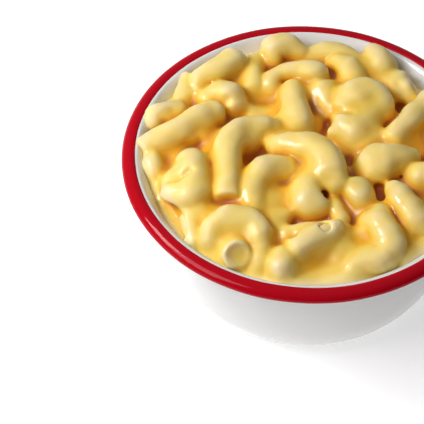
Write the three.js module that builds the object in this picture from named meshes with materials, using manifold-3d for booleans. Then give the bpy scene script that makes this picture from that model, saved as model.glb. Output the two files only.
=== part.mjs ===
// A round enamelled steel bowl, filled and heaped with elbow macaroni in cheese sauce.
// Millimetres, +Z up. The origin is on the table, under the middle of the bowl.
// The bowl is a thin turned shell with a flared lip, and a red rolled edge runs round the lip.
// The food is one solid: sauce fills the bowl, and the elbows that show are fused into its top.

import * as THREE from 'three';
import { mergeVertices } from 'three/addons/utils/BufferGeometryUtils.js';
import Module from 'manifold-3d';

const wasm = await Module();
wasm.setup();

// Bowl
const RIM_PLANE = 50;          // height of the rolled edge's widest line above the table
const RIM_RADIUS = 60;         // outside radius of the rolled edge
const WALL = 1.5;              // enamelled steel
const BODY_RADIUS = 52;        // outside radius of the straight part of the wall
const BODY_DEPTH = 53;         // depth under the rim plane where the wall's curve would close
const SIDE_POWER = 4.9;        // how square the wall's curve is towards the side
const FLOOR_POWER = 3.3;       // how square it is towards the floor
const LIP_DEPTH = 9;           // the lip starts to flare this far under the rim plane
const LIP_FLARE = 3.1;         // and carries the wall outwards by this much
const LIP_RISE = 0.9;          // top of the lip's edge above the rim plane
const WALL_DEPTHS = [46.5, 43, 38, 31, 22, 13];  // where the wall's curve gets its points
const LIP_STEPS = 4;
const ROUND_STEPS = 48;        // facets round the bowl

// Rolled edge: a flattened bead that leans outwards
const BEAD_HALF_WIDTH = 2.45;
const BEAD_HALF_HEIGHT = 1.5;
const BEAD_LEAN = THREE.MathUtils.degToRad(-24);
const BEAD_RADIUS = RIM_RADIUS - 2.3;
const BEAD_HEIGHT = RIM_PLANE + 0.2;
const BEAD_STEPS = 12;

// Food
const GAP = 0.3;               // clearance between neighbouring solids
const SAUCE_AT_WALL = -4;      // sauce level against the wall, from the rim plane
const SAUCE_AT_MIDDLE = -2.5;  // sauce level in the middle, under the elbows
const SAUCE_STEPS = 3;
const HEAP_TOP = 16;           // nothing in the heap is higher above the rim plane than this
const OVERHANG = 57;           // how far from the middle an elbow may lean out over the rim
const OVERHANG_CLEARANCE = 2.3;  // and how far above the rim plane it stays there
const ELBOW_RADIUS = 4.6;      // an elbow with the sauce that coats it
const BORE_RADIUS = 3.3;       // hollow of an elbow that lies with its end open
const BORE_DEPTH = 0.9;        // the sauce fills it up to here
const END_BLUNTNESS = 0.65;    // length of an elbow's rounded end, as a part of its radius
const TUBE_SIDES = 8;
const BEND_STEPS = 5;
const CAP_STEPS = 2;
const FINEST_DETAIL = 0.05;    // smaller steps in the joined solid are smoothed away

// The elbows that show, by their place in the heap. Each is a bent line of points, X, Y and height
// over the rim plane. An elbow that is thicker or thinner than most has its own radius, and one
// whose first end lies open is marked so.
const ELBOWS = [
  // middle of the heap
  { line: [[-10, 2, 1.5], [-4.5, 0, 3.5], [3, -4, 4.5], [6.5, -9.5, 4.5], [7, -14, 2]], radius: 5.3 },
  { line: [[-11.5, 10, 1.5], [-18, 8.5, 3], [-24, 4, 3.5], [-26, -5.5, 3.5], [-26, -18, 1.5]], radius: 4.8 },
  { line: [[-7.5, -8, 1.5], [-13.5, -9.5, 3], [-17.5, -14.5, 2], [-17.5, -24, -0.5]], radius: 4.3 },
  { line: [[-12.5, -10.5, -1.5], [-12.5, -24, -2.5], [-13, -34.5, -4]], radius: 4 },
  { line: [[13.5, 20, 1.5], [16, 23.5, 4], [22, 23, 4], [25, 18.5, 1], [24, 16, -1.5]], radius: 4.5 },
  { line: [[-4, 27.5, 1], [-3.5, 20, 2], [-2.5, 11.5, -1.5]], radius: 4.9 },
  { line: [[19, -8, -0.5], [20.5, -4.5, 2], [27, -3.5, 2.5], [33, -2.5, 1]], radius: 4.6 },
  { line: [[1, -11, 0], [-0.5, -16.5, 1], [0.5, -22, 0.5]], radius: 5.3 },
  { line: [[12.5, 12, 1], [14, 8, 0], [16, 5, -2]], radius: 5.2 },
  { line: [[7, 27.5, 0.5], [8, 24, 0], [9, 20.5, -1.5]], radius: 4.2 },
  { line: [[15.5, -16.5, 1.5], [15.5, -19.5, 1]] },
  // far side
  { line: [[-11, 30.5, 0.5], [-9, 34, 2], [-2.5, 34.5, 3], [4, 33.5, 3.5]], radius: 3.8 },
  { line: [[-10, 43, 0.5], [-8.5, 46.5, 3], [-1.5, 45.5, 1.5]], radius: 4.4 },
  { line: [[2.5, 44.5, -0.5], [12, 44.5, 0.5], [21, 38, 0], [34.5, 28, -3.5]], radius: 4.2 },
  { line: [[10.5, 40.5, 1], [15, 37, 2], [16.5, 32, 1.5]], radius: 4.1 },
  { line: [[24, 44, 2.5], [27.5, 38.5, 1]], radius: 4.4 },
  { line: [[32.5, 32.5, 1], [34.5, 28.5, -1.5]], radius: 3.7 },
  // left side
  { line: [[-51.5, 3, 0], [-39.5, 9.5, 2.5], [-31, 17, 1.5]] },
  { line: [[-34, 31.5, 2], [-24, 38.5, 3]], radius: 4.8 },
  { line: [[-39.5, 33.5, 1], [-41, 25, -0.5]], radius: 2.6 },
  { line: [[-32, 24, 0.5], [-27.5, 25.5, 2], [-23.5, 21.5, 1]], radius: 4.2 },
  { line: [[-37, -7, 2], [-36, -17.5, 0.5]], radius: 6 },
  { line: [[-43, -12.5, 0], [-39, -12.5, 1]], radius: 4.7 },
  { line: [[-42.5, -18.5, 0], [-38.5, -19, 0.5]], radius: 4.8 },
  { line: [[-50.5, 15, 0], [-42, 20, -0.5]], radius: 3.5 },
  { line: [[-16, 41.5, 0], [-17, 31, 0]], radius: 3.7 },
  { line: [[-50, -0.5, -1], [-49, -6.5, -2]], radius: 3.2 },
  { line: [[-38.5, -25, -2], [-36, -34, -3]], radius: 3.4 },
  // near side
  { line: [[-31, -34, -1], [-27.5, -30.5, 2], [-21.5, -31, 2], [-18, -37.5, -0.5]], radius: 4.4 },
  { line: [[-23.5, -42, 0], [-24, -37.5, -4], [-23, -29.5, -8]], radius: 5, open: true },
  { line: [[7, -32.5, 1.5], [0, -37.5, 1.5], [-4.5, -39.5, 0.5]], radius: 4 },
  { line: [[-7, -33.5, 0], [4.5, -31.5, 1]], radius: 2.8 },
  { line: [[-9.5, -43.5, -1.5], [-10, -46, -2.5]], radius: 3.9 },
  { line: [[-12, -42.5, -4], [-16.5, -43, -4]], radius: 3.6 },
  { line: [[22, -26.5, 0.5], [22.5, -34, 1.5], [23, -40.5, -0.5], [13.5, -44, -3]] },
  { line: [[27, -17, 1], [30, -24.5, 1.5], [35, -30.5, -0.5]] },
  { line: [[7, -19, 0.5], [9.5, -27.5, -0.5]], radius: 2.4 },
  { line: [[10, -31, -3], [7.5, -40, -5]], radius: 3 },
  { line: [[28, -40.5, -4], [38, -33.5, -4]], radius: 4.2 },
  // right side
  { line: [[28.5, 6.5, 1], [36, 15.5, 2.5], [40.5, 21, 2]], radius: 3.9 },
  { line: [[35.5, -10, 0], [44, -12, -0.5]], radius: 4.7 },
  { line: [[43.5, 12.5, -2], [45, 3.5, 0.5], [45, -2.5, -0.5]] },
  { line: [[44.5, -20.5, 0.5], [43, -25.5, 0.5], [39, -27.5, -1.5]] },
];

// ---- the bowl's curve -------------------------------------------------------------------

// Radius of a surface that lies this far inside the wall's outside, at a depth under the rim plane.
function wallRadius(depth, inset) {
  const closing = Math.min(1, Math.max(0, depth) / (BODY_DEPTH - inset));
  const straight = (BODY_RADIUS - inset) * (1 - closing ** FLOOR_POWER) ** (1 / SIDE_POWER);
  const flare = Math.min(1, Math.max(0, 1 - depth / LIP_DEPTH));
  return straight + LIP_FLARE * flare ** 2;
}

// The same surface from the bowl's floor up to the lip's edge, as points of radius and height.
function wallLine(inset, floorDepth) {
  const line = [floorDepth, ...WALL_DEPTHS].map((depth) => [wallRadius(depth, inset), depth]);
  for (let i = 0; i <= LIP_STEPS; i += 1) {
    const depth = LIP_DEPTH - (i / LIP_STEPS) * (LIP_DEPTH + LIP_RISE);
    line.push([wallRadius(depth, inset), depth]);
  }
  return line.map(([radius, depth]) => new THREE.Vector2(radius, RIM_PLANE - depth));
}

// Turns a line of radius and height about the upright axis.
function turned(line) {
  const geometry = new THREE.LatheGeometry(line, ROUND_STEPS);
  return geometry.rotateX(Math.PI / 2);
}

function bowlGeometry() {
  const outside = wallLine(0, RIM_PLANE);
  const inside = wallLine(WALL, RIM_PLANE - WALL);
  const bottom = new THREE.Vector2(0, 0);
  const floor = new THREE.Vector2(0, WALL);
  return turned([bottom, ...outside, ...inside.reverse(), floor]);
}

function rolledEdgeGeometry() {
  const middle = new THREE.Vector2(BEAD_RADIUS, BEAD_HEIGHT);
  const bead = [];
  for (let i = 0; i <= BEAD_STEPS; i += 1) {
    const turn = ((i % BEAD_STEPS) / BEAD_STEPS) * 2 * Math.PI;
    const across = BEAD_HALF_WIDTH * Math.cos(turn);
    const up = BEAD_HALF_HEIGHT * Math.sin(turn);
    bead.push(new THREE.Vector2(across, up).rotateAround(new THREE.Vector2(), BEAD_LEAN).add(middle));
  }
  return turned(bead);
}

// ---- solids for joining and cutting -----------------------------------------------------

function solid(geometry) {
  const bare = geometry.clone();
  bare.deleteAttribute('normal');
  bare.deleteAttribute('uv');
  const merged = mergeVertices(bare);
  return new wasm.Manifold(new wasm.Mesh({
    numProp: 3,
    vertProperties: new Float32Array(merged.getAttribute('position').array),
    triVerts: new Uint32Array(merged.getIndex().array),
  }));
}

function geometryOf(body) {
  const { vertProperties, triVerts } = body.getMesh();
  const geometry = new THREE.BufferGeometry();
  geometry.setAttribute('position', new THREE.BufferAttribute(vertProperties, 3));
  geometry.setIndex(new THREE.BufferAttribute(triVerts, 1));
  return geometry;
}

// The largest connected piece, without the hollows that joining has sealed inside it.
function wholeOf(body) {
  const pieces = body.decompose().sort((a, b) => b.volume() - a.volume());
  return pieces[0];
}

// ---- the food ---------------------------------------------------------------------------

// A tube with blunt rounded ends, bent along a smooth line through the points.
function bentTube(points, radius) {
  const path = new THREE.CatmullRomCurve3(points);
  const length = path.getLength();
  const { tangents, normals, binormals } = path.computeFrenetFrames(BEND_STEPS);
  const tube = new THREE.CapsuleGeometry(radius, length, CAP_STEPS, TUBE_SIDES, BEND_STEPS);
  const places = tube.getAttribute('position');
  const vertex = new THREE.Vector3();
  for (let i = 0; i < places.count; i += 1) {
    vertex.fromBufferAttribute(places, i);
    const along = THREE.MathUtils.clamp(vertex.y / length + 0.5, 0, 1);
    const beyond = vertex.y - (along - 0.5) * length;
    const frame = Math.round(along * BEND_STEPS);
    const place = path.getPointAt(along)
      .addScaledVector(binormals[frame], vertex.x)
      .addScaledVector(tangents[frame], beyond * END_BLUNTNESS)
      .addScaledVector(normals[frame], vertex.z);
    places.setXYZ(i, place.x, place.y, place.z);
  }
  return tube;
}

function elbowSolid({ line, radius = ELBOW_RADIUS, open = false }) {
  const points = line.map(([x, y, height]) => new THREE.Vector3(x, y, RIM_PLANE + height));
  const tube = solid(bentTube(points, radius));
  if (!open) return tube;
  const path = new THREE.CatmullRomCurve3(points);
  const outside = path.getPointAt(0).addScaledVector(path.getTangentAt(0), -3 * radius);
  const sunk = BORE_DEPTH - END_BLUNTNESS * (radius + BORE_RADIUS);
  const inside = path.getPointAt(0).addScaledVector(path.getTangentAt(0), sunk);
  return tube.subtract(solid(bentTube([outside, inside], BORE_RADIUS)));
}

// All the room that food can take: the bowl's inside, and above it out over the rolled edge.
function roomSolid() {
  const floor = RIM_PLANE - WALL - GAP;
  const wall = wallLine(WALL + GAP, floor);
  const lip = wall[wall.length - 1].x;
  const ledge = RIM_PLANE + OVERHANG_CLEARANCE;
  const top = RIM_PLANE + HEAP_TOP;
  const above = [[lip, ledge], [OVERHANG, ledge], [OVERHANG, top], [0, top]];
  const middle = new THREE.Vector2(0, RIM_PLANE - floor);
  return solid(turned([middle, ...wall, ...above.map((point) => new THREE.Vector2(...point))]));
}

// The sauce with the elbows sunk in it, up to a low dome under the ones that show.
function sauceSolid() {
  const floor = RIM_PLANE - WALL - GAP;
  const line = [new THREE.Vector2(0, RIM_PLANE - floor), new THREE.Vector2(RIM_RADIUS, RIM_PLANE - floor)];
  for (let i = 0; i <= SAUCE_STEPS; i += 1) {
    const outwards = 1 - i / SAUCE_STEPS;
    const level = SAUCE_AT_MIDDLE + (SAUCE_AT_WALL - SAUCE_AT_MIDDLE) * outwards ** 2;
    line.push(new THREE.Vector2(RIM_RADIUS * outwards, RIM_PLANE + level));
  }
  return solid(turned(line));
}

function heapGeometry() {
  const joined = wasm.Manifold.union([sauceSolid(), ...ELBOWS.map(elbowSolid)]);
  const whole = wholeOf(joined.intersect(roomSolid()));
  return geometryOf(whole.simplify(FINEST_DETAIL));
}

// ---- the parts --------------------------------------------------------------------------

function part(name, geometry, color, roughness) {
  const mesh = new THREE.Mesh(geometry, new THREE.MeshStandardMaterial({ color, roughness, metalness: 0 }));
  mesh.name = name;
  return mesh;
}

const macAndCheese = new THREE.Group();
macAndCheese.add(
  part('bowl', bowlGeometry(), 0xeeeeec, 0.2),
  part('rolled_edge', rolledEdgeGeometry(), 0xc00420, 0.2),
  part('macaroni_in_cheese_sauce', heapGeometry(), 0xedcf85, 0.35),
);

export default macAndCheese;
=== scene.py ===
"""Macaroni and cheese, heaped in a small round enamel bowl with a red rolled edge.

Metres, +Z up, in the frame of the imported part: the bowl stands on its base at the origin. Sizes are
written in millimetres times MM. The file follows the object from the outside in: the bowl, its
rolled edge, the macaroni and the cheese sauce, then the table, the light and the camera.
"""

import math

import bmesh
import bpy
import numpy as np
import openvdb
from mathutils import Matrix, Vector


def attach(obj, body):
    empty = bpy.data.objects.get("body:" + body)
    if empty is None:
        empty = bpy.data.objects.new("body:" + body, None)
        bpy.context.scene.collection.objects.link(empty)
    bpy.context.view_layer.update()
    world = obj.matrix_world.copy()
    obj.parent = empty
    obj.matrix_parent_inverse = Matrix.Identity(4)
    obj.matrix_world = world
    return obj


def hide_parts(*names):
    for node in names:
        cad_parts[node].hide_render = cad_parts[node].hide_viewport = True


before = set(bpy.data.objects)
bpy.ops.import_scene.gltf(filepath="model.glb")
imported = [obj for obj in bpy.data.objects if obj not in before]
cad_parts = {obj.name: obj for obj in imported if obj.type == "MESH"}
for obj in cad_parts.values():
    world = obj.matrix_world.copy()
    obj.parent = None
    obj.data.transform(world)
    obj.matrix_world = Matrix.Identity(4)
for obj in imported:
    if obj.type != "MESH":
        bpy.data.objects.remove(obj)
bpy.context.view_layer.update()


# ---- Bowl ---------------------------------------------------------------------------------------
# A spun sheet steel bowl in white vitreous enamel: flat base, bulging wall, and a lip that flares
# out under the rolled edge. The line of its wall is a superellipse, turned about the upright axis.

MM = 0.001
RIM_PLANE = 50 * MM        # the rolled edge's widest line, above the table
WALL = 1.5 * MM
BODY_RADIUS = 52 * MM      # outside of the straight part of the wall
BODY_DEPTH = 53 * MM       # where the wall's curve would close, under the rim plane
SIDE_POWER = 4.9
FLOOR_POWER = 3.3
LIP_DEPTH = 9 * MM         # the flare begins this far under the rim plane
LIP_FLARE = 3.1 * MM
BASE_EDGE = 1.2 * MM       # width of the bevel round the base, which smooth shading rounds off
BASE_EDGE_RISE = 0.35      # its height, as a part of that width
FLOOR_CROWDING = 0.7       # under 1, the wall's points lie closer together towards the floor
TURNING_RADIUS = 50 * MM   # of the circle that the wall's line is drawn along
SEAM = 0.02 * MM           # points closer than this are welded
WHITE = (0.75, 0.745, 0.74, 1)

# Radius and height over the rim plane, in millimetres.
LIP_TOP = [(54.5, 0.95), (54.9, 1.25), (55.6, 1.4), (57.2, 1.1)]
LIP_UNDER = [(57.2, -0.2), (56.0, -0.7)]

# Fired enamel: fine and coarse marks that the kiln leaves. A fineness counts marks along a metre.
CLOUD_FINENESS = 60
CLOUD_TONES = (0.94, 1.03)  # darkest and lightest, as parts of the colour
CLOUD_GLOSS = (0.8, 1.25)   # smoothest and roughest, as parts of the roughness
PIT_FINENESS = 260
PIT_EDGE = (0.03, 0.07)     # a pit's speck fades out here, in parts of the pits' spacing
PIT_TONE = 0.4              # of the speck, as a part of the colour
RIPPLE_FINENESS = 90
RIPPLE_STRENGTH = 0.25
RIPPLE_HEIGHT = 0.3 * MM


def wall_radius(depth, inset):
    """Radius of a surface this far inside the wall's outside, at a depth under the rim plane."""
    depth = np.asarray(depth, float)
    closing = np.clip(depth / (BODY_DEPTH - inset), 0, 1)
    straight = (BODY_RADIUS - inset) * (1 - closing ** FLOOR_POWER) ** (1 / SIDE_POWER)
    flare = np.clip(1 - depth / LIP_DEPTH, 0, 1)
    return straight + LIP_FLARE * flare ** 2


def wall_line(inset, floor_depth, steps=40):
    """Points (radius, height) up the wall, from the floor to the lip."""
    depths = floor_depth * np.linspace(1, 0, steps) ** FLOOR_CROWDING
    return [(float(wall_radius(d, inset)), RIM_PLANE - float(d)) for d in depths]


def start_tree(name, inputs, output):
    """A Geometry Nodes tree with its named inputs, by label and kind, and its output."""
    tree = bpy.data.node_groups.new(name, "GeometryNodeTree")
    for label, kind in inputs:
        tree.interface.new_socket(label, in_out="INPUT", socket_type="NodeSocket" + kind)
    tree.interface.new_socket(output, in_out="OUTPUT", socket_type="NodeSocketGeometry")
    return tree, tree.nodes.new("NodeGroupInput").outputs


def end_tree(tree, shape, finish):
    """Ends a tree: smooth shading, instances made real, and the finish as the material."""
    link = tree.links.new
    smooth = tree.nodes.new("GeometryNodeSetShadeSmooth")
    realize = tree.nodes.new("GeometryNodeRealizeInstances")
    coat = tree.nodes.new("GeometryNodeSetMaterial")
    out = tree.nodes.new("NodeGroupOutput")
    link(shape, smooth.inputs["Geometry"])
    link(smooth.outputs["Geometry"], realize.inputs["Geometry"])
    link(realize.outputs["Geometry"], coat.inputs["Geometry"])
    link(finish, coat.inputs["Material"])
    link(coat.outputs["Geometry"], out.inputs[0])


def turning_tree():
    """Turns a line of edges, drawn with X outwards and Y down, into a slightly uneven round piece."""
    tree, given = start_tree("turning", [
        ("Line", "Geometry"), ("Turning Radius", "Float"), ("Facets", "Int"), ("Weld Distance", "Float"),
        ("Waver", "Float"), ("Waver Scale", "Float"), ("Finish", "Material")], "Piece")
    add, link = tree.nodes.new, tree.links.new
    profile = add("GeometryNodeMeshToCurve")
    link(given["Line"], profile.inputs["Mesh"])
    ring = add("GeometryNodeCurvePrimitiveCircle")
    link(given["Facets"], ring.inputs["Resolution"])
    link(given["Turning Radius"], ring.inputs["Radius"])
    sweep = add("GeometryNodeCurveToMesh")
    link(ring.outputs["Curve"], sweep.inputs["Curve"])
    link(profile.outputs["Curve"], sweep.inputs["Profile Curve"])
    weld = add("GeometryNodeMergeByDistance")
    link(sweep.outputs["Mesh"], weld.inputs["Geometry"])
    link(given["Weld Distance"], weld.inputs["Distance"])
    noise = add("ShaderNodeTexNoise")
    noise.inputs["Detail"].default_value = 1.0
    link(given["Waver Scale"], noise.inputs["Scale"])
    centred = add("ShaderNodeVectorMath")
    centred.operation = "SUBTRACT"
    centred.inputs[1].default_value = (0.5, 0.5, 0.5)   # the middle of the noise's range
    link(noise.outputs["Color"], centred.inputs[0])
    scaled = add("ShaderNodeVectorMath")
    scaled.operation = "SCALE"
    link(centred.outputs["Vector"], scaled.inputs[0])
    link(given["Waver"], scaled.inputs["Scale"])
    shift = add("GeometryNodeSetPosition")
    link(weld.outputs["Geometry"], shift.inputs["Geometry"])
    link(scaled.outputs["Vector"], shift.inputs["Offset"])
    end_tree(tree, shift.outputs["Geometry"], given["Finish"])
    return tree


def from_nodes(name, mesh, tree, **inputs):
    """Runs a mesh through a node tree and keeps the result as a plain, outward-facing mesh."""
    carrier = bpy.data.objects.new(name + "_line", mesh)
    bpy.context.collection.objects.link(carrier)
    nodes = carrier.modifiers.new("nodes", "NODES")
    nodes.node_group = tree
    for socket in tree.interface.items_tree:
        label = socket.name.replace(" ", "_").lower()
        if socket.in_out == "INPUT" and label in inputs:
            nodes[socket.identifier] = inputs[label]
    shape = carrier.evaluated_get(bpy.context.evaluated_depsgraph_get())
    piece = bpy.data.objects.new(name, bpy.data.meshes.new_from_object(shape))
    bpy.data.objects.remove(carrier)
    bpy.context.collection.objects.link(piece)
    turn_outwards(piece.data)
    return piece


def turn_outwards(mesh):
    """Flips a closed mesh whose faces point inwards."""
    mesh.calc_loop_triangles()
    places = np.empty(len(mesh.vertices) * 3)
    mesh.vertices.foreach_get("co", places)
    corners = np.empty(len(mesh.loop_triangles) * 3, int)
    mesh.loop_triangles.foreach_get("vertices", corners)
    a, b, c = places.reshape(-1, 3)[corners.reshape(-1, 3)].transpose(1, 0, 2)
    if np.einsum("ij,ij->", a, np.cross(b, c)) < 0:
        mesh.flip_normals()


def line_mesh(name, points, turning_radius, closed=False):
    """A line of edges through (radius, height) points, as the turning tree takes it."""
    mesh = bpy.data.meshes.new(name)
    count = len(points)
    edges = [(i, (i + 1) % count) for i in range(count if closed else count - 1)]
    mesh.from_pydata([(r - turning_radius, -h, 0) for r, h in points], edges, [])
    return mesh


def new_finish(name):
    """A new material, with its node tree and its shader."""
    material = bpy.data.materials.new(name)
    material.use_nodes = True
    return material, material.node_tree, material.node_tree.nodes["Principled BSDF"]


def pattern(tree, kind, fineness):
    """A Noise or Voronoi pattern that stays in place on the piece."""
    place = tree.nodes.new("ShaderNodeTexCoord")
    texture = tree.nodes.new("ShaderNodeTex" + kind)
    texture.inputs["Scale"].default_value = fineness
    tree.links.new(place.outputs["Object"], texture.inputs["Vector"])
    return texture


def ranged(tree, value, low, high, start=0.0, end=1.0):
    """A value that runs from start to end, made to run from low to high."""
    node = tree.nodes.new("ShaderNodeMapRange")
    node.inputs["From Min"].default_value = start
    node.inputs["From Max"].default_value = end
    node.inputs["To Min"].default_value = low
    node.inputs["To Max"].default_value = high
    tree.links.new(value, node.inputs["Value"])
    return node.outputs["Result"]


def relief(tree, value, strength, height):
    """Shades the finish as if the value stood up from it."""
    bump = tree.nodes.new("ShaderNodeBump")
    bump.inputs["Strength"].default_value = strength
    bump.inputs["Distance"].default_value = height
    tree.links.new(value, bump.inputs["Height"])
    tree.links.new(bump.outputs["Normal"], tree.nodes["Principled BSDF"].inputs["Normal"])


def enamel(name, color, roughness, speckle, shine):
    """Fired glass enamel: glossy, faintly rippled, with small pits and specks from the kiln."""
    material, tree, shader = new_finish(name)
    link = tree.links.new
    clouds = pattern(tree, "Noise", CLOUD_FINENESS).outputs["Fac"]
    tint = tree.nodes.new("ShaderNodeVectorMath")
    tint.operation = "SCALE"
    tint.inputs[0].default_value = color[:3]
    link(ranged(tree, clouds, *CLOUD_TONES), tint.inputs["Scale"])
    pits = pattern(tree, "Voronoi", PIT_FINENESS).outputs["Distance"]
    specked = tree.nodes.new("ShaderNodeMix")
    specked.data_type = "RGBA"
    specked.inputs["B"].default_value = tuple(part * PIT_TONE for part in color[:3]) + (1,)
    link(ranged(tree, pits, speckle, 0.0, *PIT_EDGE), specked.inputs["Factor"])
    link(tint.outputs["Vector"], specked.inputs["A"])
    link(specked.outputs["Result"], shader.inputs["Base Color"])
    smoothest, roughest = (roughness * part for part in CLOUD_GLOSS)
    link(ranged(tree, clouds, smoothest, roughest), shader.inputs["Roughness"])
    relief(tree, pattern(tree, "Noise", RIPPLE_FINENESS).outputs["Fac"], RIPPLE_STRENGTH, RIPPLE_HEIGHT)
    shader.inputs["Specular IOR Level"].default_value = shine
    return material


TURNING = turning_tree()
outside = wall_line(0, RIM_PLANE)
corner = outside[0][0]
outside[0] = (corner, BASE_EDGE * BASE_EDGE_RISE)
lip_top = [(r * MM, RIM_PLANE + h * MM) for r, h in LIP_TOP]
lip_under = [(r * MM, RIM_PLANE + h * MM) for r, h in LIP_UNDER]
inside = wall_line(WALL, RIM_PLANE - WALL)
bowl_line = ([(0, 0), (corner - BASE_EDGE, 0)] + outside[:-1] + lip_under[::-1] + lip_top[::-1]
             + inside[::-1] + [(0, WALL)])
white_enamel = enamel("white_enamel", WHITE, roughness=0.13, speckle=0.25, shine=0.4)
bowl = from_nodes("enamel_bowl", line_mesh("bowl_line", bowl_line, TURNING_RADIUS), TURNING,
                  turning_radius=TURNING_RADIUS, facets=192, weld_distance=SEAM,
                  waver=0.25 * MM, waver_scale=14.0, finish=white_enamel)
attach(bowl, "root")
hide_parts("bowl")


# ---- Rolled edge --------------------------------------------------------------------------------
# The sheet's edge, rolled outwards and down into a flattened bead and dipped in red enamel, which
# ends in a slightly uneven line along the inside of the lip.

RIM_RADIUS = 60 * MM
BEAD_HALF_WIDTH = 2.45 * MM
BEAD_HALF_HEIGHT = 1.5 * MM
BEAD_LEAN = math.radians(-24)
BEAD_RADIUS = RIM_RADIUS - 2.3 * MM
BEAD_HEIGHT = RIM_PLANE + 0.2 * MM
RED = (0.43, 0.0005, 0.008, 1)


def bead_line(steps=28):
    """The bead's oval outline as (radius, height) points."""
    line = []
    for i in range(steps):
        turn = 2 * math.pi * i / steps
        across = BEAD_HALF_WIDTH * math.cos(turn)
        up = BEAD_HALF_HEIGHT * math.sin(turn)
        line.append((BEAD_RADIUS + across * math.cos(BEAD_LEAN) - up * math.sin(BEAD_LEAN),
                     BEAD_HEIGHT + across * math.sin(BEAD_LEAN) + up * math.cos(BEAD_LEAN)))
    return line


red_enamel = enamel("red_enamel", RED, roughness=0.08, speckle=0.35, shine=0.15)
bead = from_nodes("red_rolled_edge", line_mesh("bead_line", bead_line(), BEAD_RADIUS, closed=True), TURNING,
                  turning_radius=BEAD_RADIUS, facets=256, weld_distance=SEAM,
                  waver=0.3 * MM, waver_scale=45.0, finish=red_enamel)
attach(bead, "root")
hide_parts("rolled_edge")


# ---- Macaroni -----------------------------------------------------------------------------------
# Cooked elbow macaroni: short hollow tubes of durum wheat pasta, extruded in a bend and cut square.
# They lie loose, each along its own bent line. Those under the top layer aren't made.

COAT = 0.85 * MM           # sauce on an elbow
PASTA_WALL = 1.1 * MM
TUBE_CLEARANCE = 0.3 * MM  # between a tube and the bowl's wall
TUBE_SIDES = 14
TUBE_WELD = 0.01 * MM
BEND_POINTS = 14           # along an elbow's middle line
SPAN_STEPS = 12            # of the curve between two listed points
PASTA = (0.93, 0.74, 0.38, 1)
PASTA_DEEP = (0.88, 0.64, 0.24, 1)
PASTA_GRAIN = 320          # fineness of the mottling between these two colours
PASTA_ROUGHNESS = 0.35

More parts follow.
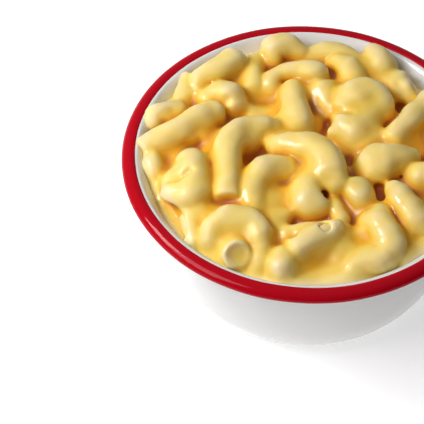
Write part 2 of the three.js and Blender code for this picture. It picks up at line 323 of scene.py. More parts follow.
# Points along each elbow's middle line, in millimetres: X, Y, height over the rim plane, and the
# radius there with the sauce on it. Then its two ends: b is cut blunt, r is rounded over by the
# sauce, and o lies open to view.
ELBOWS = [
    # middle of the heap
    ([(-10, 2.5, 1.5, 3.9), (-7.5, 1, 2.5, 4.7), (-4.5, 0, 3.5, 5.0), (0.5, -2, 4.5, 5.6),
      (3.5, -4.5, 4.7, 5.8), (5.5, -7.5, 4.7, 5.9), (6.5, -10.5, 4.3, 5.9),
      (7, -14.5, 2.2, 5.2)], "rr"),
    ([(-11.5, 10, 1.5, 3.7), (-14, 9.5, 2.2, 4.2), (-17, 8.5, 2.8, 4.5), (-20.5, 7, 3.2, 4.8),
      (-23.5, 4, 3.5, 5.0), (-25.5, 0, 3.6, 5.1), (-26, -6, 3.4, 5.0), (-26, -12, 2.6, 4.9),
      (-26, -18, 1.6, 4.7)], "rb"),
    ([(-7.5, -8, 1.5, 4.3), (-10.5, -8.5, 2.2, 4.7), (-13.5, -9.5, 2.8, 5.0), (-15.5, -11, 2.8, 4.7),
      (-17, -13, 2.4, 4.3), (-18, -16.5, 1.8, 4.0), (-18, -21, 0.6, 3.9),
      (-17.5, -24, -0.5, 3.6)], "br"),
    ([(-12.5, -10.5, -1.5, 3.8), (-12.5, -20, -2, 3.9), (-12.5, -29.5, -2.2, 4.2),
      (-13.5, -34.5, -3, 4.2)], "rr"),
    ([(13.5, 20, 1.5, 4.3), (14, 22, 3, 4.6), (16, 23.5, 4, 4.7), (19, 24, 4.4, 4.7),
      (22.5, 23, 4, 4.7), (24.5, 20.5, 2.6, 4.6), (25, 18, 0.6, 4.5), (24.5, 16, -1.5, 4.2)], "rr"),
    ([(-4, 27.5, 1, 4.2), (-3.5, 20.5, 1.8, 4.7), (-3, 14.5, 0.8, 5.5), (-2.5, 11.5, -1.5, 5.8)], "br"),
    ([(19.5, -8, -0.3, 4.6), (20, -5.5, 1.2, 4.8), (22, -4, 2.2, 4.9), (25.5, -4, 2.6, 4.8),
      (29.5, -3.5, 2, 4.3), (33, -2.5, 1.2, 3.4)], "rr"),
    ([(1, -11, 0, 3.6), (-0.5, -16, 1, 5.0), (-0.5, -20.5, 1.2, 5.7), (0.5, -22, 0.6, 5.7)], "rr"),
    ([(14.5, 13, 0.5, 5.2), (15.5, 9.5, 0, 5.6), (17.5, 7, -2, 5.0)], "rr"),
    ([(6.5, 27, 0.6, 4.8), (7.5, 23.5, -0.2, 4.5), (9, 20, -1.5, 3.6)], "br"),
    ([(15.5, -16.5, 1.5, 4.3), (15.5, -19, 1, 4.6)], "rr"),
    # far side
    ([(-11, 30.5, 0.6, 3.5), (-10, 33, 1.6, 3.6), (-7, 34.5, 2.2, 3.4), (-2.5, 34.5, 2.8, 3.7),
      (2, 34, 3.4, 4.3), (4, 33.5, 3.4, 4.4)], "rr"),
    ([(-10.5, 43, 0.4, 4.2), (-9.5, 46, 2.6, 4.9), (-6, 46.5, 3, 4.7), (-1.5, 45.5, 1.6, 3.8)], "rr"),
    ([(2.5, 44.5, -0.6, 4.0), (6.5, 45.5, 0.2, 4.4), (12, 45, 0.6, 4.5), (16.5, 42, 0.6, 4.4),
      (21, 38, 0, 4.2), (26, 34.5, -0.8, 4.0), (31.5, 30.5, -2.2, 4.0), (34.5, 28.5, -3.4, 3.8)], "rr"),
    ([(10.5, 40.5, 1, 2.8), (12.5, 39.5, 1.6, 3.8), (15.5, 36, 2, 4.7), (16.5, 32, 1.6, 4.7)], "rr"),
    ([(24, 44, 2.6, 3.4), (25, 41, 2.6, 4.6), (27.5, 38.5, 1.2, 5.0)], "rr"),
    # left side
    ([(-51.5, 3, 0, 4.2), (-45.5, 6, 1.6, 4.5), (-39.5, 9.5, 2.4, 4.6), (-34.5, 13.5, 2.2, 4.7),
      (-31, 16.5, 1.6, 4.6)], "br"),
    ([(-34, 31.5, 2, 4.3), (-29, 34.5, 3, 4.9), (-24, 38.5, 3.2, 5.1)], "rr"),
    ([(-39.5, 33.5, 0.8, 2.4), (-40.5, 29.5, 0.4, 2.4), (-41, 25, -0.6, 2.6)], "rr"),
    ([(-32, 24, 0.6, 3.8), (-28.5, 25.5, 1.8, 4.3), (-25, 24.5, 2.4, 4.5),
      (-23.5, 21.5, 1, 4.2)], "rr"),
    ([(-37, -7, 1.8, 5.9), (-36.5, -13, 1.4, 6.3), (-36, -17.5, 0.6, 6.2)], "rr"),
    ([(-50.5, 15, -0.2, 3.4), (-49.5, 17, 0.4, 3.6), (-46, 18, 0.4, 3.6), (-42, 20, -0.4, 3.2)], "rr"),
    ([(-16, 41.5, 0, 3.6), (-17, 35.5, 0.6, 3.8), (-17, 31, 0.2, 3.7)], "rr"),
    ([(-50, -0.5, -0.8, 3.0), (-49.5, -4.5, -1, 3.3), (-49, -6.5, -1.8, 3.0)], "rr"),
    ([(-38.5, -25, -2, 3.4), (-37.5, -29.5, -2.2, 3.4), (-36, -33.5, -2.8, 3.2)], "rr"),
    # near side
    ([(-31, -34.5, -1, 4.2), (-30, -32, 0.8, 4.4), (-27, -30, 2, 4.6), (-23, -29.5, 2.4, 4.6),
      (-19, -31, 2, 4.6), (-16.5, -34.5, 1.2, 4.5), (-15.5, -38, -0.4, 4.1)], "rr"),
    ([(-23.5, -41.5, 0, 4.5), (-24.5, -38, -3.5, 4.8), (-25.5, -31, -8, 4.6)], "or"),
    ([(7, -33, 1.4, 3.2), (4, -35, 1.8, 3.9), (-0.5, -37.5, 1.6, 4.2), (-4.5, -39.5, 0.6, 4.1)], "rr"),
    ([(-7, -33.5, 0, 2.6), (-4, -33.5, 0.4, 3.0), (0.5, -32.5, 0.6, 2.8),
      (4.5, -31.5, 1.2, 2.4)], "rr"),
    ([(-9.5, -42.5, -0.6, 4.0), (-9.5, -45, -1.4, 4.6)], "rr"),
    ([(-12.5, -42, -3.5, 3.6), (-16.5, -43, -3.5, 3.6)], "rr"),
    ([(22, -26.5, 0.6, 3.6), (21.5, -30, 1.2, 4.8), (22.5, -34, 1.4, 4.9), (24, -37.5, 0.8, 5.1),
      (23, -41, -0.4, 4.9), (18.5, -43, -1.8, 4.3), (13, -44.5, -2.8, 3.7)], "rr"),
    ([(27, -17, 1, 3.6), (28.5, -20.5, 1.6, 4.5), (30.5, -25, 1.6, 5.0), (33, -29, 0.8, 5.2),
      (35, -30.5, -0.5, 5.0)], "rr"),
    ([(7, -19, 0.4, 1.8), (8.5, -23, 0.2, 2.6), (9.5, -27.5, -0.4, 2.8)], "rr"),
    ([(10, -31, -1.0, 2.8), (9.8, -35, -1.8, 3.0), (8.5, -40.5, -3.4, 2.8)], "rr"),
    ([(28, -40.5, -3.5, 4.0), (32.5, -38.5, -3.4, 4.2), (38, -33.5, -3.5, 4.2)], "rr"),
    # right side
    ([(28.5, 6.5, 1.2, 3.3), (31.5, 10, 2.4, 3.7), (36, 15.5, 2.6, 3.9), (40.5, 21, 2, 4.0)], "rb"),
    ([(35.5, -10, 0, 4.6), (40, -10, 0.5, 4.8), (44, -12, -0.5, 4.6)], "rr"),
    ([(43.5, 12.5, -2, 4.6), (45, 3.5, 0.5, 4.6), (45, -2.5, -0.5, 4.4)], "bb"),
    ([(44.5, -20.5, 0.5, 4.6), (43, -25.5, 0.5, 4.6), (39.5, -27.5, -1.5, 4.4)], "bb"),
]


def bent_line(points, count=BEND_POINTS):
    """A smooth line through the points: a centripetal Catmull-Rom spline, evenly spaced."""
    p = np.array(points, float)
    p = np.vstack([2 * p[0] - p[1], p, 2 * p[-1] - p[-2]])
    gaps = np.sqrt(np.linalg.norm(np.diff(p[:, :3], axis=0), axis=1))
    knots = np.concatenate([[0], np.cumsum(gaps)])
    line = []
    for i in range(1, len(p) - 2):
        for t in np.linspace(knots[i], knots[i + 1], SPAN_STEPS, endpoint=False):
            a = [((knots[j + 1] - t) * p[j] + (t - knots[j]) * p[j + 1]) / (knots[j + 1] - knots[j])
                 for j in (i - 1, i, i + 1)]
            b = [((knots[j + 2] - t) * a[k] + (t - knots[j]) * a[k + 1]) / (knots[j + 2] - knots[j])
                 for k, j in ((0, i - 1), (1, i))]
            line.append(((knots[i + 1] - t) * b[0] + (t - knots[i]) * b[1]) / (knots[i + 1] - knots[i]))
    line = np.array(line + [p[-2]])
    run = np.concatenate([[0], np.cumsum(np.linalg.norm(np.diff(line[:, :3], axis=0), axis=1))])
    even = np.linspace(0, run[-1], count)
    return np.stack([np.interp(even, run, column) for column in line.T], axis=1)


def placed(points):
    """Points from a list, in metres from the table. A single point stands for both ends of a line."""
    points = points if len(points) > 1 else points * 2
    return np.array(points, float) * MM + (0, 0, RIM_PLANE, 0)


elbows = [(placed(bent_line(points)), ends) for points, ends in ELBOWS]


def tube_tree():
    """Hollow tubes along lines of edges, with the radius that the lines' 'thickness' gives."""
    tree, given = start_tree("pasta_tubes", [
        ("Lines", "Geometry"), ("Sides", "Int"), ("Wall", "Float"), ("Finish", "Material")], "Tubes")
    add, link = tree.nodes.new, tree.links.new
    path = add("GeometryNodeMeshToCurve")
    link(given["Lines"], path.inputs["Mesh"])
    ring = add("GeometryNodeCurvePrimitiveCircle")
    ring.inputs["Radius"].default_value = 1.0
    link(given["Sides"], ring.inputs["Resolution"])
    thickness = add("GeometryNodeInputNamedAttribute")
    thickness.inputs["Name"].default_value = "thickness"
    sweep = add("GeometryNodeCurveToMesh")
    link(path.outputs["Curve"], sweep.inputs["Curve"])
    link(ring.outputs["Curve"], sweep.inputs["Profile Curve"])
    link(thickness.outputs["Attribute"], sweep.inputs["Scale"])
    inwards = add("ShaderNodeMath")
    inwards.operation = "MULTIPLY"
    inwards.inputs[1].default_value = -1.0
    link(given["Wall"], inwards.inputs[0])
    bore = add("GeometryNodeExtrudeMesh")
    bore.inputs["Individual"].default_value = False
    link(sweep.outputs["Mesh"], bore.inputs["Mesh"])
    link(inwards.outputs["Value"], bore.inputs["Offset Scale"])
    outer = add("GeometryNodeFlipFaces")
    link(sweep.outputs["Mesh"], outer.inputs["Mesh"])
    both = add("GeometryNodeJoinGeometry")
    link(bore.outputs["Mesh"], both.inputs["Geometry"])
    link(outer.outputs["Mesh"], both.inputs["Geometry"])
    weld = add("GeometryNodeMergeByDistance")
    weld.inputs["Distance"].default_value = TUBE_WELD
    link(both.outputs["Geometry"], weld.inputs["Geometry"])
    end_tree(tree, weld.outputs["Geometry"], given["Finish"])
    return tree


def bare_tube(line):
    """An elbow without its coat: squeezed, where it lies against the bowl, to stay inside the wall."""
    tube = line - (0, 0, 0, COAT)
    reach = np.hypot(tube[:, 0], tube[:, 1])
    wall = wall_radius(RIM_PLANE - tube[:, 2] + tube[:, 3], WALL) - TUBE_CLEARANCE
    squeeze = np.maximum(reach + tube[:, 3] - wall, 0) / 2
    tube[:, 3] -= squeeze
    tube[:, :2] *= (1 - squeeze / reach)[:, None]
    return tube


def middle_lines():
    """One mesh of edges along the middle of every elbow, with its bare radius at each point."""
    mesh = bpy.data.meshes.new("macaroni_lines")
    tubes = np.concatenate([bare_tube(line) for line, _ in elbows])
    edges = [(k * BEND_POINTS + i, k * BEND_POINTS + i + 1)
             for k in range(len(elbows)) for i in range(BEND_POINTS - 1)]
    mesh.from_pydata(tubes[:, :3].tolist(), edges, [])
    thickness = mesh.attributes.new("thickness", "FLOAT", "POINT")
    thickness.data.foreach_set("value", tubes[:, 3])
    return mesh


def let_light_in(shader, weight, parts, depth):
    """Lets light soak into a finish, red deeper than green and blue, by these parts of the depth."""
    shader.inputs["Subsurface Weight"].default_value = weight
    shader.inputs["Subsurface Radius"].default_value = parts
    shader.inputs["Subsurface Scale"].default_value = depth


def cooked_pasta():
    """Cooked semolina: pale, slightly see-through, damp."""
    material, tree, shader = new_finish("cooked_pasta")
    tint = tree.nodes.new("ShaderNodeMix")
    tint.data_type = "RGBA"
    tint.inputs["A"].default_value = PASTA
    tint.inputs["B"].default_value = PASTA_DEEP
    tree.links.new(pattern(tree, "Noise", PASTA_GRAIN).outputs["Fac"], tint.inputs["Factor"])
    tree.links.new(tint.outputs["Result"], shader.inputs["Base Color"])
    let_light_in(shader, weight=0.3, parts=(1.0, 0.5, 0.15), depth=2 * MM)
    shader.inputs["Roughness"].default_value = PASTA_ROUGHNESS
    return material


macaroni = from_nodes("elbow_macaroni", middle_lines(), tube_tree(),
                      sides=TUBE_SIDES, wall=PASTA_WALL, finish=cooked_pasta())
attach(macaroni, "root")
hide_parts("macaroni_in_cheese_sauce")


# ---- Cheese sauce -------------------------------------------------------------------------------
# A thick glossy sauce of milk, butter and cheddar. It is stirred in hot, and coats every elbow,
# draws webs between those that touch and lies between them. Its top layer is the level set of the
# distance to the elbows, cut to the bowl's inside, and a turned piece fills the bowl below it.

CELL = 0.6 * MM            # of the grid that the surface is found on
BAND = 3                   # cells to each side of the surface that the grid keeps
SPARE_CELLS = 4            # of the grid under the underside
SAUCE_BOTTOM = -14 * MM    # underside of the top layer, from the rim plane
SAUCE_TOP = 13 * MM
SAUCE_HALF = 58 * MM
BEYOND = 20 * MM           # a distance past which nothing is blended
BLUR_PASSES = 3
TINY = 1e-12               # keeps a division from failing where a length is nothing

# The coats on the elbows and the webs between those that touch. Webs and unevenness in millimetres.
SAUCE_SEED = 5
WEB_MEAN = 0.8
WEB_SWING = 0.45
WEB_RANGE = (0.35, 2.0)
WEB_LENGTH = 13 * MM       # between one thick web and the next
WAVE_SPREAD = (0.7, 1.5)   # of the lengths of the waves that make such unevenness
UNEVENNESS = 0.16
UNEVEN_LENGTH = 8 * MM
END_BEYOND = 1.5           # a blunt end's line runs on by this part of its radius,
END_CUT = 0.6              # and is cut off this part of it past the last point
END_ROUNDING = 1.7 * MM
BORE_RADIUS = 3.1 * MM     # open hollow of an elbow's end
BORE_DEPTH = 0.5 * MM      # the sauce fills it up to here
BORE_FLOOR_BLEND = 1.4 * MM
BORE_EDGE_BLEND = 1.2 * MM
PATCH_MARGIN = 6 * MM      # around an elbow or a lump, where the grid is worked on
CLEFT_MARGIN = 4 * MM

# The pool of sauce between the elbows.
POOL_LOWEST = -2.2 * MM    # from the rim plane
POOL_SINK = 1.2 * MM       # its level under the average height of the elbows around it
POOL_REACH = 9 * MM        # how far around that average goes
POOL_LEAST = 0.05          # smallest part of that circle that counts
POOL_BLEND = 2.3 * MM
POOL_AT_WALL = -3.5 * MM   # it is no higher than this at the bowl's wall,
POOL_RISE = 0.8            # and than this slope inwards from it
FLOW_HEIGHT = 0.9          # of the slow waves in its level, in millimetres
FLOW_LENGTH = 16 * MM
LUMP_BLEND = 3.0 * MM
CLEFT_BLEND = 2.0 * MM

# Where the sauce meets the bowl.
WALL_OVERLAP = 0.25 * MM    # the sauce goes this far into the wall, so that no gap shows
MENISCUS_SINK = 0.3 * MM    # the face that it creeps up is taken this far out
MENISCUS_BLEND = 1.6 * MM
LIP_RETREAT = 2             # over the rim plane, it draws in this many times its height
CORE_INSET = WALL + 0.3 * MM
CORE_TOP = RIM_PLANE + SAUCE_BOTTOM + 1 * MM  # a little into the top layer
HOLLOW_TOP = 90 * MM        # upper end of the bowl's hollow, well over the heap

# The way on from the lip over the rolled edge: radius and height over the rim plane, in millimetres.
OVER_EDGE = [(54.4, 0.9), (55.4, 1.7), (56.9, 2.0), (58.5, 1.5), (60, 0.5)]

# Places where the sauce lies thicker, and clefts that stay open between elbows, as lines of points
# like the elbows' own. A single point is a ball.
LUMPS = [
    [(22, -9, 0, 4.6), (23.5, -7, 1.4, 5.2), (27, -5.5, 0.6, 4.6)],
    [(18.5, 20.5, 2.2, 5.2), (20.5, 16, 0.4, 5.0)],
    [(19.5, 11.5, -0.6, 5.0), (21.5, 8, -1.6, 4.6)],
    [(12.5, 17.5, 1.2, 3.6), (13, 14, 1, 4.2)],
    [(-28.5, -32, -2.6, 4.0), (-24, -32.5, -2.4, 4.0)],
    [(-37.5, 11, -3, 3.0), (-32.5, 15, -3.4, 3.4)],
    [(-19, 5, 0.8, 3.9)],
    [(13, -17, 1.5, 2.9)],
    [(17.5, -29, 0, 2.7)],
    [(8.5, 9.5, 0.4, 1.3), (11, 10, 0.8, 3.0)],
    [(-38.5, 27, -0.6, 3.0), (-35.5, 28, 0, 3.0)],
    [(32.5, 32.5, 1.2, 3.2), (33, 30, 0.4, 3.9), (34.5, 28.5, -1.5, 3.6)],
    [(-42.5, -12.5, 0, 4.5), (-39, -12.5, 1, 5.0)],
    [(-42.5, -18.5, 0, 4.5), (-38.5, -19, 0.6, 5.2)],
    [(-7, 13.5, -1, 4.0)],
    [(-9.5, -27, -2.5, 3.0), (-9.5, -35, -2.5, 3.0)],
    [(-7.5, -17, -2.5, 3.0), (-8, -24, -2.5, 3.0)],
    [(15.5, -33, -2.5, 3.0)],
    [(3, 20, -3, 3.0), (3, 14, -3.5, 3.0)],
    [(-17, 20, -3.5, 3.4), (-11, 20, -3.5, 3.4)],
    [(-21, -22.5, -2.2, 3.0), (-15.5, -24, -2.2, 3.0)],
    [(-33, -25, -1.8, 3.4), (-25, -25, -1.8, 3.4)],
    [(-31, 3, -2.5, 3.0), (-31, -7, -2.5, 3.2)],
    [(-13.5, -37.5, -2.6, 3.0), (-15, -41.5, -2.6, 3.0)],
    [(12.5, -22, -2.4, 2.6), (17, -22, -2.6, 2.6)],
    [(-37, 6, 0.8, 0.8), (-35, 7.5, 1.2, 0.9), (-34, 7, 0.8, 0.7)],
]
CLEFTS = [
    [(-45, -19.5, -1.5, 2.0), (-42.5, -25, -1.5, 2.5), (-38, -32, -2.5, 1.5)],
    [(-2.5, -2, -3.5, 2.3), (-4.5, -7, -3.5, 1.5)],
    [(13.5, 0, -2.2, 1.1), (13.5, -3, -2.4, 0.9), (13.5, -8.5, -2.2, 0.9)],
    [(4.5, -20.5, 3.5, 1.2), (4.5, -18.5, 1.5, 1.2)],
    [(29.5, -9, -0.8, 1.0)],
    [(22, -14.5, -0.5, 1.2), (22.5, -19, -0.5, 1.7)],
    [(32, 22.5, -2, 2.1), (31.5, 18, -2.4, 1.3)],
    [(24.5, 9, -2.2, 1.1)],
    [(-14, 6, -1.8, 1.1)],
    [(-22.5, 34.5, -0.8, 1.2)],
    [(32, -33, -2.4, 1.2), (37, -34, -2.6, 1.2)],
    [(-20.5, -41, -1.8, 1.2)],
    [(9, 16.5, 3.4, 0.9), (12, 14.5, 5.2, 0.9), (14.5, 13.5, 5.6, 0.6)],
    [(-45, -14.5, 3.8, 0.5), (-41, -15.5, 5.6, 0.6), (-38, -13.5, 7.4, 0.8)],
    [(4, -34.5, 4.4, 1.5), (4.5, -33, 2.2, 1.4)],
    [(-6, -36.5, 3.6, 1.3)],
    [(-26, 19.5, 5.2, 1.1)],
    [(-45, 14.5, 4.2, 1.8), (-43, 16, 3.8, 1.8)],
    [(31, 28, 4.6, 1.9), (32.5, 25, 3.9, 1.9)],
]

# How deep the sauce seems, from how crowded the food is, which also sets how much painted shade
# its gaps get: reach, the least crowding and its span there, and the share in the whole. Small gaps
# between elbows tell within the first reach, the heap's own shape within the second.
CROWDING = [(3 * MM, 0.34, 0.40, 0.65), (7 * MM, 0.32, 0.50, 0.35)]

# The sauce's colour, from the thin coat on a crown to a deep gap, by that depth from 0 to 1.
# Deeper orange for thicker sauce is its own colour; the darkening towards 1 is painted shade in the gaps.
SAUCE_TINTS_AND_SHADE = [(0.0, (0.88, 0.72, 0.39, 1)), (0.28, (0.87, 0.655, 0.19, 1)), (0.50, (0.85, 0.58, 0.09, 1)),
               (0.74, (0.79, 0.41, 0.015, 1)), (1.0, (0.45, 0.11, 0.003, 1))]
SWIRL_FINENESS = 90         # of the swirls in its colour and gloss
SWIRL_TINT = 0.16           # how far they shift the colour along the depth
SWIRL_GLOSS = (0.46, 0.60)  # roughness under the wet film
GRAIN_FINENESS = 420        # of the faint grain of melted cheese
GRAIN_STRENGTH = 0.12
GRAIN_HEIGHT = 0.4 * MM
FILM_FINENESS = 130         # of the wet film of fat, which comes and goes
FILM_EDGE = (0.45, 0.65)
FILM_WEIGHT = 0.9
FILM_ROUGHNESS = 0.09
SAUCE_SHINE = 0.5

# The grid's places along X, Y and Z.
spans = [(-SAUCE_HALF, SAUCE_HALF), (-SAUCE_HALF, SAUCE_HALF),
         (RIM_PLANE + SAUCE_BOTTOM - SPARE_CELLS * CELL, RIM_PLANE + SAUCE_TOP)]
along = [np.arange(low, high, CELL, dtype=np.float32) for low, high in spans]
origin = np.array([axis[0] for axis in along])


def soft_min(a, b, blend):
    """The lesser of two distances, rounded where they are about equal."""
    h = np.maximum(blend - np.abs(a - b), 0) / blend
    return np.minimum(a, b) - h * h * blend * 0.25


def soft_max(a, b, blend):
    """The greater of two distances, rounded likewise."""
    return -soft_min(-a, -b, blend)


def waves(x, y, z, chance, length, count=14):
    """Smooth noise of about unit size: a sum of plane waves near one wavelength."""
    total = 0
    for _ in range(count):
        way = chance.normal(size=3)
        way *= 2 * math.pi / (length * chance.uniform(*WAVE_SPREAD) * np.linalg.norm(way))
        total = total + np.cos(way[0] * x + way[1] * y + way[2] * z + chance.uniform(0, 2 * math.pi))
    return (total / math.sqrt(count / 2)).astype(np.float32)


def near_line(line, x, y, z):
    """Distance to the surface of a line of round segments, each as thick as its two points say."""
    nearest = None
    for a, b in zip(line[:-1], line[1:]):
        way = b[:3] - a[:3]
        px, py, pz = x - a[0], y - a[1], z - a[2]
        t = np.clip((px * way[0] + py * way[1] + pz * way[2]) / max(way.dot(way), TINY), 0, 1)
        distance = np.sqrt((px - t * way[0]) ** 2 + (py - t * way[1]) ** 2 + (pz - t * way[2]) ** 2)
        distance -= a[3] + t * (b[3] - a[3])
        nearest = distance if nearest is None else np.minimum(nearest, distance)
    return nearest


def end_way(line, end):
    """The direction in which a line's first (0) or last (-1) end points."""
    way = line[0, :3] - line[1, :3] if end == 0 else line[-1, :3] - line[-2, :3]
    return way / np.linalg.norm(way)


def elbow_distance(line, ends, x, y, z):
    """Signed distance to a coated elbow, with its ends as the sauce leaves them."""
    cut_ends = [(end, style) for end, style in zip((0, -1), ends) if style != "r"]
    longer = line
    for end, _ in cut_ends:
        beyond = line[end] + np.append(end_way(line, end) * line[end, 3] * END_BEYOND, 0)
        longer = np.vstack([beyond, longer] if end == 0 else [longer, beyond])
    distance = near_line(longer, x, y, z)
    for end, style in cut_ends:
        way = end_way(line, end)
        px, py, pz = x - line[end, 0], y - line[end, 1], z - line[end, 2]
        past = px * way[0] + py * way[1] + pz * way[2]
        cut = line[end, 3] * END_CUT
        distance = soft_max(distance, past - cut, END_ROUNDING)
        if style == "o":
            away = np.sqrt(np.maximum(px ** 2 + py ** 2 + pz ** 2 - past ** 2, 0))
            hollow = soft_max(away - BORE_RADIUS, cut - BORE_DEPTH - past, BORE_FLOOR_BLEND)
            distance = soft_max(distance, -hollow, BORE_EDGE_BLEND)
    return distance


def patch(line, margin):
    """The part of the grid within a margin of a thick line, as slices and open coordinate arrays."""
    margin += line[:, 3].max()
    slices, places = [], []
    for axis in range(3):
        low = int(np.clip((line[:, axis].min() - margin - origin[axis]) / CELL, 0, len(along[axis]) - 2))
        high = int(min(len(along[axis]), (line[:, axis].max() + margin - origin[axis]) / CELL + 2))
        slices.append(slice(low, high))
        places.append(along[axis][low:high])
    x, y, z = places
    return tuple(slices), (x[:, None, None], y[None, :, None], z[None, None, :])


def hollow_distance(radii, heights):
    """Signed distance to the bowl's inside, carried on out over the rolled edge."""
    line = wall_line(WALL - WALL_OVERLAP, RIM_PLANE - WALL, steps=24)
    line += [(r * MM, RIM_PLANE + h * MM) for r, h in OVER_EDGE]
    past_axis = -10 * MM
    line = [(past_axis, line[0][1])] + line + [(RIM_RADIUS, HOLLOW_TOP), (past_axis, HOLLOW_TOP)]
    r, h = np.meshgrid(radii, heights, indexing="ij")
    nearest, inside = None, np.zeros(r.shape, bool)
    for (r0, h0), (r1, h1) in zip(line, line[1:] + line[:1]):
        wr, wh = r1 - r0, h1 - h0
        t = np.clip(((r - r0) * wr + (h - h0) * wh) / (wr * wr + wh * wh), 0, 1)
        d = np.hypot(r - r0 - t * wr, h - h0 - t * wh)
        nearest = d if nearest is None else np.minimum(nearest, d)
        crosses = (h0 > h) != (h1 > h)
        inside ^= crosses & (r < r0 + (h - h0) * wr / (wh if wh else TINY))
    return np.where(inside, -nearest, nearest).astype(np.float32)


def blurred(values, half, axes):
    """Passes of a moving average over this many cells to each side."""
    for _ in range(BLUR_PASSES):
        for axis in axes:
            padding = [(half + 1, half) if a == axis else (0, 0) for a in range(values.ndim)]
            total = np.cumsum(np.pad(values, padding, mode="edge"), axis=axis)
            size = values.shape[axis]
            ahead = np.take(total, range(2 * half + 1, 2 * half + 1 + size), axis=axis)
            behind = np.take(total, range(size), axis=axis)
            values = (ahead - behind) / (2 * half + 1)
    return values


def pool_level(coated, x, y, z, chance):
    """Level of the sauce between the elbows: it has sunk some way under their average height."""
    lowest = RIM_PLANE + POOL_LOWEST
    tops = np.where(coated < 0, z, lowest).max(axis=2)
    inside = np.hypot(x, y)[:, :, 0] < BODY_RADIUS
    half = max(1, round(POOL_REACH / CELL / BLUR_PASSES))
    part = np.maximum(blurred(inside.astype(float), half, (0, 1)), POOL_LEAST)
    average = blurred(np.where(inside, tops, 0.0), half, (0, 1)) / part
    flow = waves(x, y, z[:, :, :1] * 0, chance, FLOW_LENGTH) * FLOW_HEIGHT * MM
    at_wall = RIM_PLANE + POOL_AT_WALL + POOL_RISE * np.maximum(BODY_RADIUS - np.hypot(x, y), 0)
    return np.minimum(np.maximum(average[:, :, None] - POOL_SINK, lowest), at_wall) + flow


def sauce_field():
    """The sauce's signed distance on the grid."""
    chance = np.random.default_rng(SAUCE_SEED)
    x, y, z = along[0][:, None, None], along[1][None, :, None], along[2][None, None, :]
    webs = (WEB_MEAN + WEB_SWING * waves(x, y, z, chance, WEB_LENGTH)).clip(*WEB_RANGE) * MM
    unevenness = waves(x, y, z, chance, UNEVEN_LENGTH) * UNEVENNESS * MM
    sauce = np.full(webs.shape, BEYOND, np.float32)
    for line, ends in elbows:
        where, (px, py, pz) = patch(line, PATCH_MARGIN)
        distance = elbow_distance(line, ends, px, py, pz) + unevenness[where]
        sauce[where] = soft_min(sauce[where], distance, webs[where])
    pool = pool_level(sauce, x, y, z, chance)
    sauce = soft_min(sauce, (z - pool).astype(np.float32), POOL_BLEND)
    for line in map(placed, LUMPS):
        where, (px, py, pz) = patch(line, PATCH_MARGIN)
        sauce[where] = soft_min(sauce[where], near_line(line, px, py, pz) + unevenness[where], LUMP_BLEND)
    for line in map(placed, CLEFTS):
        where, (px, py, pz) = patch(line, CLEFT_MARGIN)
        sauce[where] = soft_max(sauce[where], -near_line(line, px, py, pz), CLEFT_BLEND)
    radius = np.hypot(along[0][:, None], along[1][None, :])
    steps = np.arange(0, SAUCE_HALF * 1.5, CELL)    # out to the grid's corners
    hollow = hollow_distance(steps, along[2])
    for level, height in enumerate(along[2]):
        edge = np.interp(radius, steps, hollow[:, level])
        over_lip = max(0, height - RIM_PLANE)
        face = -edge + MENISCUS_SINK + LIP_RETREAT * over_lip
        layer = soft_min(sauce[:, :, level], face, MENISCUS_BLEND)
        sauce[:, :, level] = np.maximum(layer, edge)
    return np.maximum(sauce, RIM_PLANE + SAUCE_BOTTOM - z)


def surface(name, field):
    """The zero level of a field on the grid, as a mesh."""
    grid = openvdb.FloatGrid(float(BAND))
    grid.copyFromArray(np.clip(field / CELL, -BAND, BAND).astype(np.float32))
    places, triangles, quads = grid.convertToPolygons(isovalue=0.0, adaptivity=0.0)
    mesh = bpy.data.meshes.new(name)
    mesh.from_pydata((places * CELL + origin).tolist(), [], triangles.tolist() + quads.tolist())
    mesh.shade_smooth()
    return mesh, places


def keep_main_body(mesh):
    """Deletes the specks of a mesh that aren't joined to its largest piece."""
    body = bmesh.new()
    body.from_mesh(mesh)
    waiting, pieces = set(body.verts), []
    while waiting:
        reached = [waiting.pop()]
        for vertex in reached:
            for edge in vertex.link_edges:
                other = edge.other_vert(vertex)
                if other in waiting:
                    waiting.remove(other)
                    reached.append(other)
        pieces.append(reached)
    pieces.sort(key=len)
    for specks in pieces[:-1]:
        bmesh.ops.delete(body, geom=specks, context="VERTS")
    body.to_mesh(mesh)
    body.free()


def sampled(field, places):
    """A field's values at places given in cells, blended between the cells around each."""
    low = np.clip(np.floor(places).astype(int), 0, np.array(field.shape) - 2)
    part = np.clip(places - low, 0, 1)
    total = 0
    for corner in np.ndindex(2, 2, 2):
        weight = np.prod(np.where(corner, part, 1 - part), axis=1)
        total = total + weight * field[tuple((low + corner).T)]
    return total


def crowding(field, reach):
    """How full of food the space around each cell is: about a half on a level surface, less on an
    elbow's crown and more in the gaps between elbows. Each pass of the blur goes half the reach."""
    full = np.clip(0.5 - field / CELL, 0, 1)
    return blurred(full, max(1, round(reach / CELL / 2)), (0, 1, 2))


def seeming_depth_and_shade(field, places):
    """The sauce's seeming depth at places on its surface, from 0 on a crown to 1 in a deep gap. It also
    sets the painted shade that darkens the gaps.
    """
    depth = sum(share * (sampled(crowding(field, reach), places) - least) / span
                for reach, least, span, share in CROWDING)
    return np.clip(depth, 0, 1).astype(np.float32)


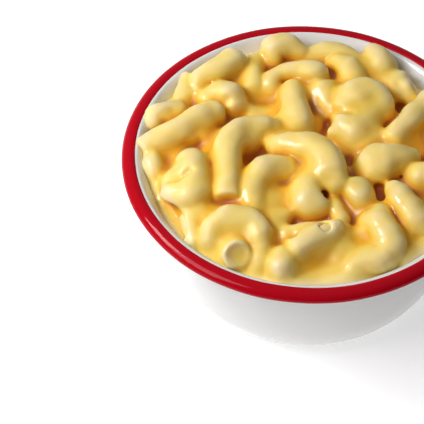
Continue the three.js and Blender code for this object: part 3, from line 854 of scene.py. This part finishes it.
def cheese_sauce():
    """Deep orange where it has run into the gaps, and darkened there with painted shade, pale where the
    coat on a crown is thin, glossy.
    """
    material, tree, shader = new_finish("cheese_sauce")
    add, link = tree.nodes.new, tree.links.new
    swirls = pattern(tree, "Noise", SWIRL_FINENESS).outputs["Fac"]
    # The seeming depth darkens the gaps here as painted shade.
    depth = add("ShaderNodeAttribute")
    depth.attribute_name = "sauce_depth"
    clouded = add("ShaderNodeMath")
    clouded.operation = "MULTIPLY_ADD"
    clouded.use_clamp = True
    clouded.inputs[1].default_value = SWIRL_TINT
    link(swirls, clouded.inputs[0])
    link(depth.outputs["Fac"], clouded.inputs[2])
    tint = add("ShaderNodeValToRGB")
    tint.color_ramp.interpolation = "EASE"
    stops = tint.color_ramp.elements
    stops[0].color = SAUCE_TINTS_AND_SHADE[0][1]
    stops[1].color = SAUCE_TINTS_AND_SHADE[-1][1]
    for position, color in SAUCE_TINTS_AND_SHADE[1:-1]:
        stops.new(position).color = color
    link(clouded.outputs["Value"], tint.inputs["Fac"])
    link(tint.outputs["Color"], shader.inputs["Base Color"])
    let_light_in(shader, weight=0.5, parts=(1.0, 0.6, 0.1), depth=2.5 * MM)
    link(ranged(tree, swirls, *SWIRL_GLOSS), shader.inputs["Roughness"])
    relief(tree, pattern(tree, "Noise", GRAIN_FINENESS).outputs["Fac"], GRAIN_STRENGTH, GRAIN_HEIGHT)
    wetness = pattern(tree, "Noise", FILM_FINENESS).outputs["Fac"]
    link(ranged(tree, wetness, 0.0, FILM_WEIGHT, *FILM_EDGE), shader.inputs["Coat Weight"])
    shader.inputs["Coat Roughness"].default_value = FILM_ROUGHNESS
    shader.inputs["Specular IOR Level"].default_value = SAUCE_SHINE
    return material


sauce_values = sauce_field()
sauce_mesh, cells = surface("cheese_sauce", sauce_values)
# The seeming depth kept on the mesh; towards 1 it darkens the gaps as painted shade.
depth = sauce_mesh.attributes.new("sauce_depth", "FLOAT", "POINT")
depth.data.foreach_set("value", seeming_depth_and_shade(sauce_values, cells))
sauce_finish = cheese_sauce()
sauce_mesh.materials.append(sauce_finish)
keep_main_body(sauce_mesh)
turn_outwards(sauce_mesh)
sauce = bpy.data.objects.new("cheese_sauce", sauce_mesh)
bpy.context.collection.objects.link(sauce)
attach(sauce, "root")
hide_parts("macaroni_in_cheese_sauce")

core_line = [point for point in wall_line(CORE_INSET, RIM_PLANE - CORE_INSET) if point[1] < CORE_TOP]
core_line = [(0, CORE_INSET)] + core_line + [(core_line[-1][0], CORE_TOP), (0, CORE_TOP)]
core = from_nodes("sauce_in_bowl", line_mesh("core_line", core_line, TURNING_RADIUS), TURNING,
                  turning_radius=TURNING_RADIUS, facets=96, weld_distance=SEAM,
                  waver=0.05 * MM, waver_scale=14.0, finish=sauce_finish)
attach(core, "root")
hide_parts("macaroni_in_cheese_sauce")


# ---- Table --------------------------------------------------------------------------------------
# A plain white table top under the bowl, a hair below its base, so that the base's slight waver
# doesn't dip through it. A faint glow of its own keeps it white.

TABLE_SIZE = 3.0
TABLE_LEVEL = -0.1 * MM
TABLE_WHITE = (0.9, 0.9, 0.9, 1)
TABLE_ROUGHNESS = 0.8
TABLE_GLOW = 0.42


def white_table():
    """Matt white laminate."""
    material, _, shader = new_finish("white_table")
    shader.inputs["Base Color"].default_value = TABLE_WHITE
    shader.inputs["Roughness"].default_value = TABLE_ROUGHNESS
    shader.inputs["Emission Color"].default_value = (1, 1, 1, 1)
    shader.inputs["Emission Strength"].default_value = TABLE_GLOW
    return material


bpy.ops.mesh.primitive_plane_add(size=TABLE_SIZE)
table = bpy.context.object
table.name = "table_top"
for vertex in table.data.vertices:
    vertex.co.z = TABLE_LEVEL
table.data.materials.append(white_table())


# ---- Light --------------------------------------------------------------------------------------
# A plain studio room, brightest high at the back left. A small lamp close to the bowl's left draws
# the highlights, a large soft one high at the near left lights the bowl's side, and a wide weak one
# high at the right lifts the shadows.

BRIGHT_SIDE = Vector((-0.45, 0.35, 0.82)).normalized()
ROOM_FADE = (-0.2, 1.0)    # dim and bright ends, by how far a direction leans to the bright side
ROOM_LIGHT = (0.04, 0.36)

room = bpy.data.worlds.new("room")
bpy.context.scene.world = room
room.use_nodes = True
direction = room.node_tree.nodes.new("ShaderNodeTexCoord")
towards = room.node_tree.nodes.new("ShaderNodeVectorMath")
towards.operation = "DOT_PRODUCT"
towards.inputs[1].default_value = BRIGHT_SIDE
room.node_tree.links.new(direction.outputs["Generated"], towards.inputs[0])
walls = room.node_tree.nodes["Background"]
walls.inputs["Color"].default_value = (1, 1, 1, 1)
brightness = ranged(room.node_tree, towards.outputs["Value"], *ROOM_LIGHT, *ROOM_FADE)
room.node_tree.links.new(brightness, walls.inputs["Strength"])


def lamp(name, place, size, watts):
    """A square area lamp that faces the bowl."""
    light = bpy.data.lights.new(name, "AREA")
    light.size = size
    light.energy = watts
    holder = bpy.data.objects.new(name, light)
    bpy.context.collection.objects.link(holder)
    holder.location = place
    aim = Vector((0, 0, RIM_PLANE)) - Vector(place)
    holder.rotation_euler = aim.to_track_quat("-Z", "Y").to_euler()


lamp("key_lamp", place=(-0.23, 0.0, 0.25), size=0.09, watts=0.465)
lamp("soft_lamp", place=(-0.82, -0.34, 1.05), size=0.7, watts=8.8)
lamp("fill_lamp", place=(0.45, 0.20, 1.15), size=1.2, watts=0.3)


# ---- Camera -------------------------------------------------------------------------------------
# A long lens half a metre away, a little to the left of the bowl's middle and looking down on it
# from the near side.

CAMERA_PLACE = (-0.03076, -0.34891, 0.43190)
CAMERA_TILT = math.radians(40.34)   # from straight down
CAMERA_LENS = 135.85                # and its film's width, both in millimetres
CAMERA_FILM = 36
CAMERA_NEAR = 10 * MM

camera = bpy.data.objects.new("camera", bpy.data.cameras.new("camera"))
bpy.context.collection.objects.link(camera)
camera.location = CAMERA_PLACE
camera.rotation_euler = (CAMERA_TILT, 0, 0)
camera.data.lens = CAMERA_LENS
camera.data.sensor_width = CAMERA_FILM
camera.data.clip_start = CAMERA_NEAR
bpy.context.scene.camera = camera
bpy.context.scene.view_settings.view_transform = "Standard"
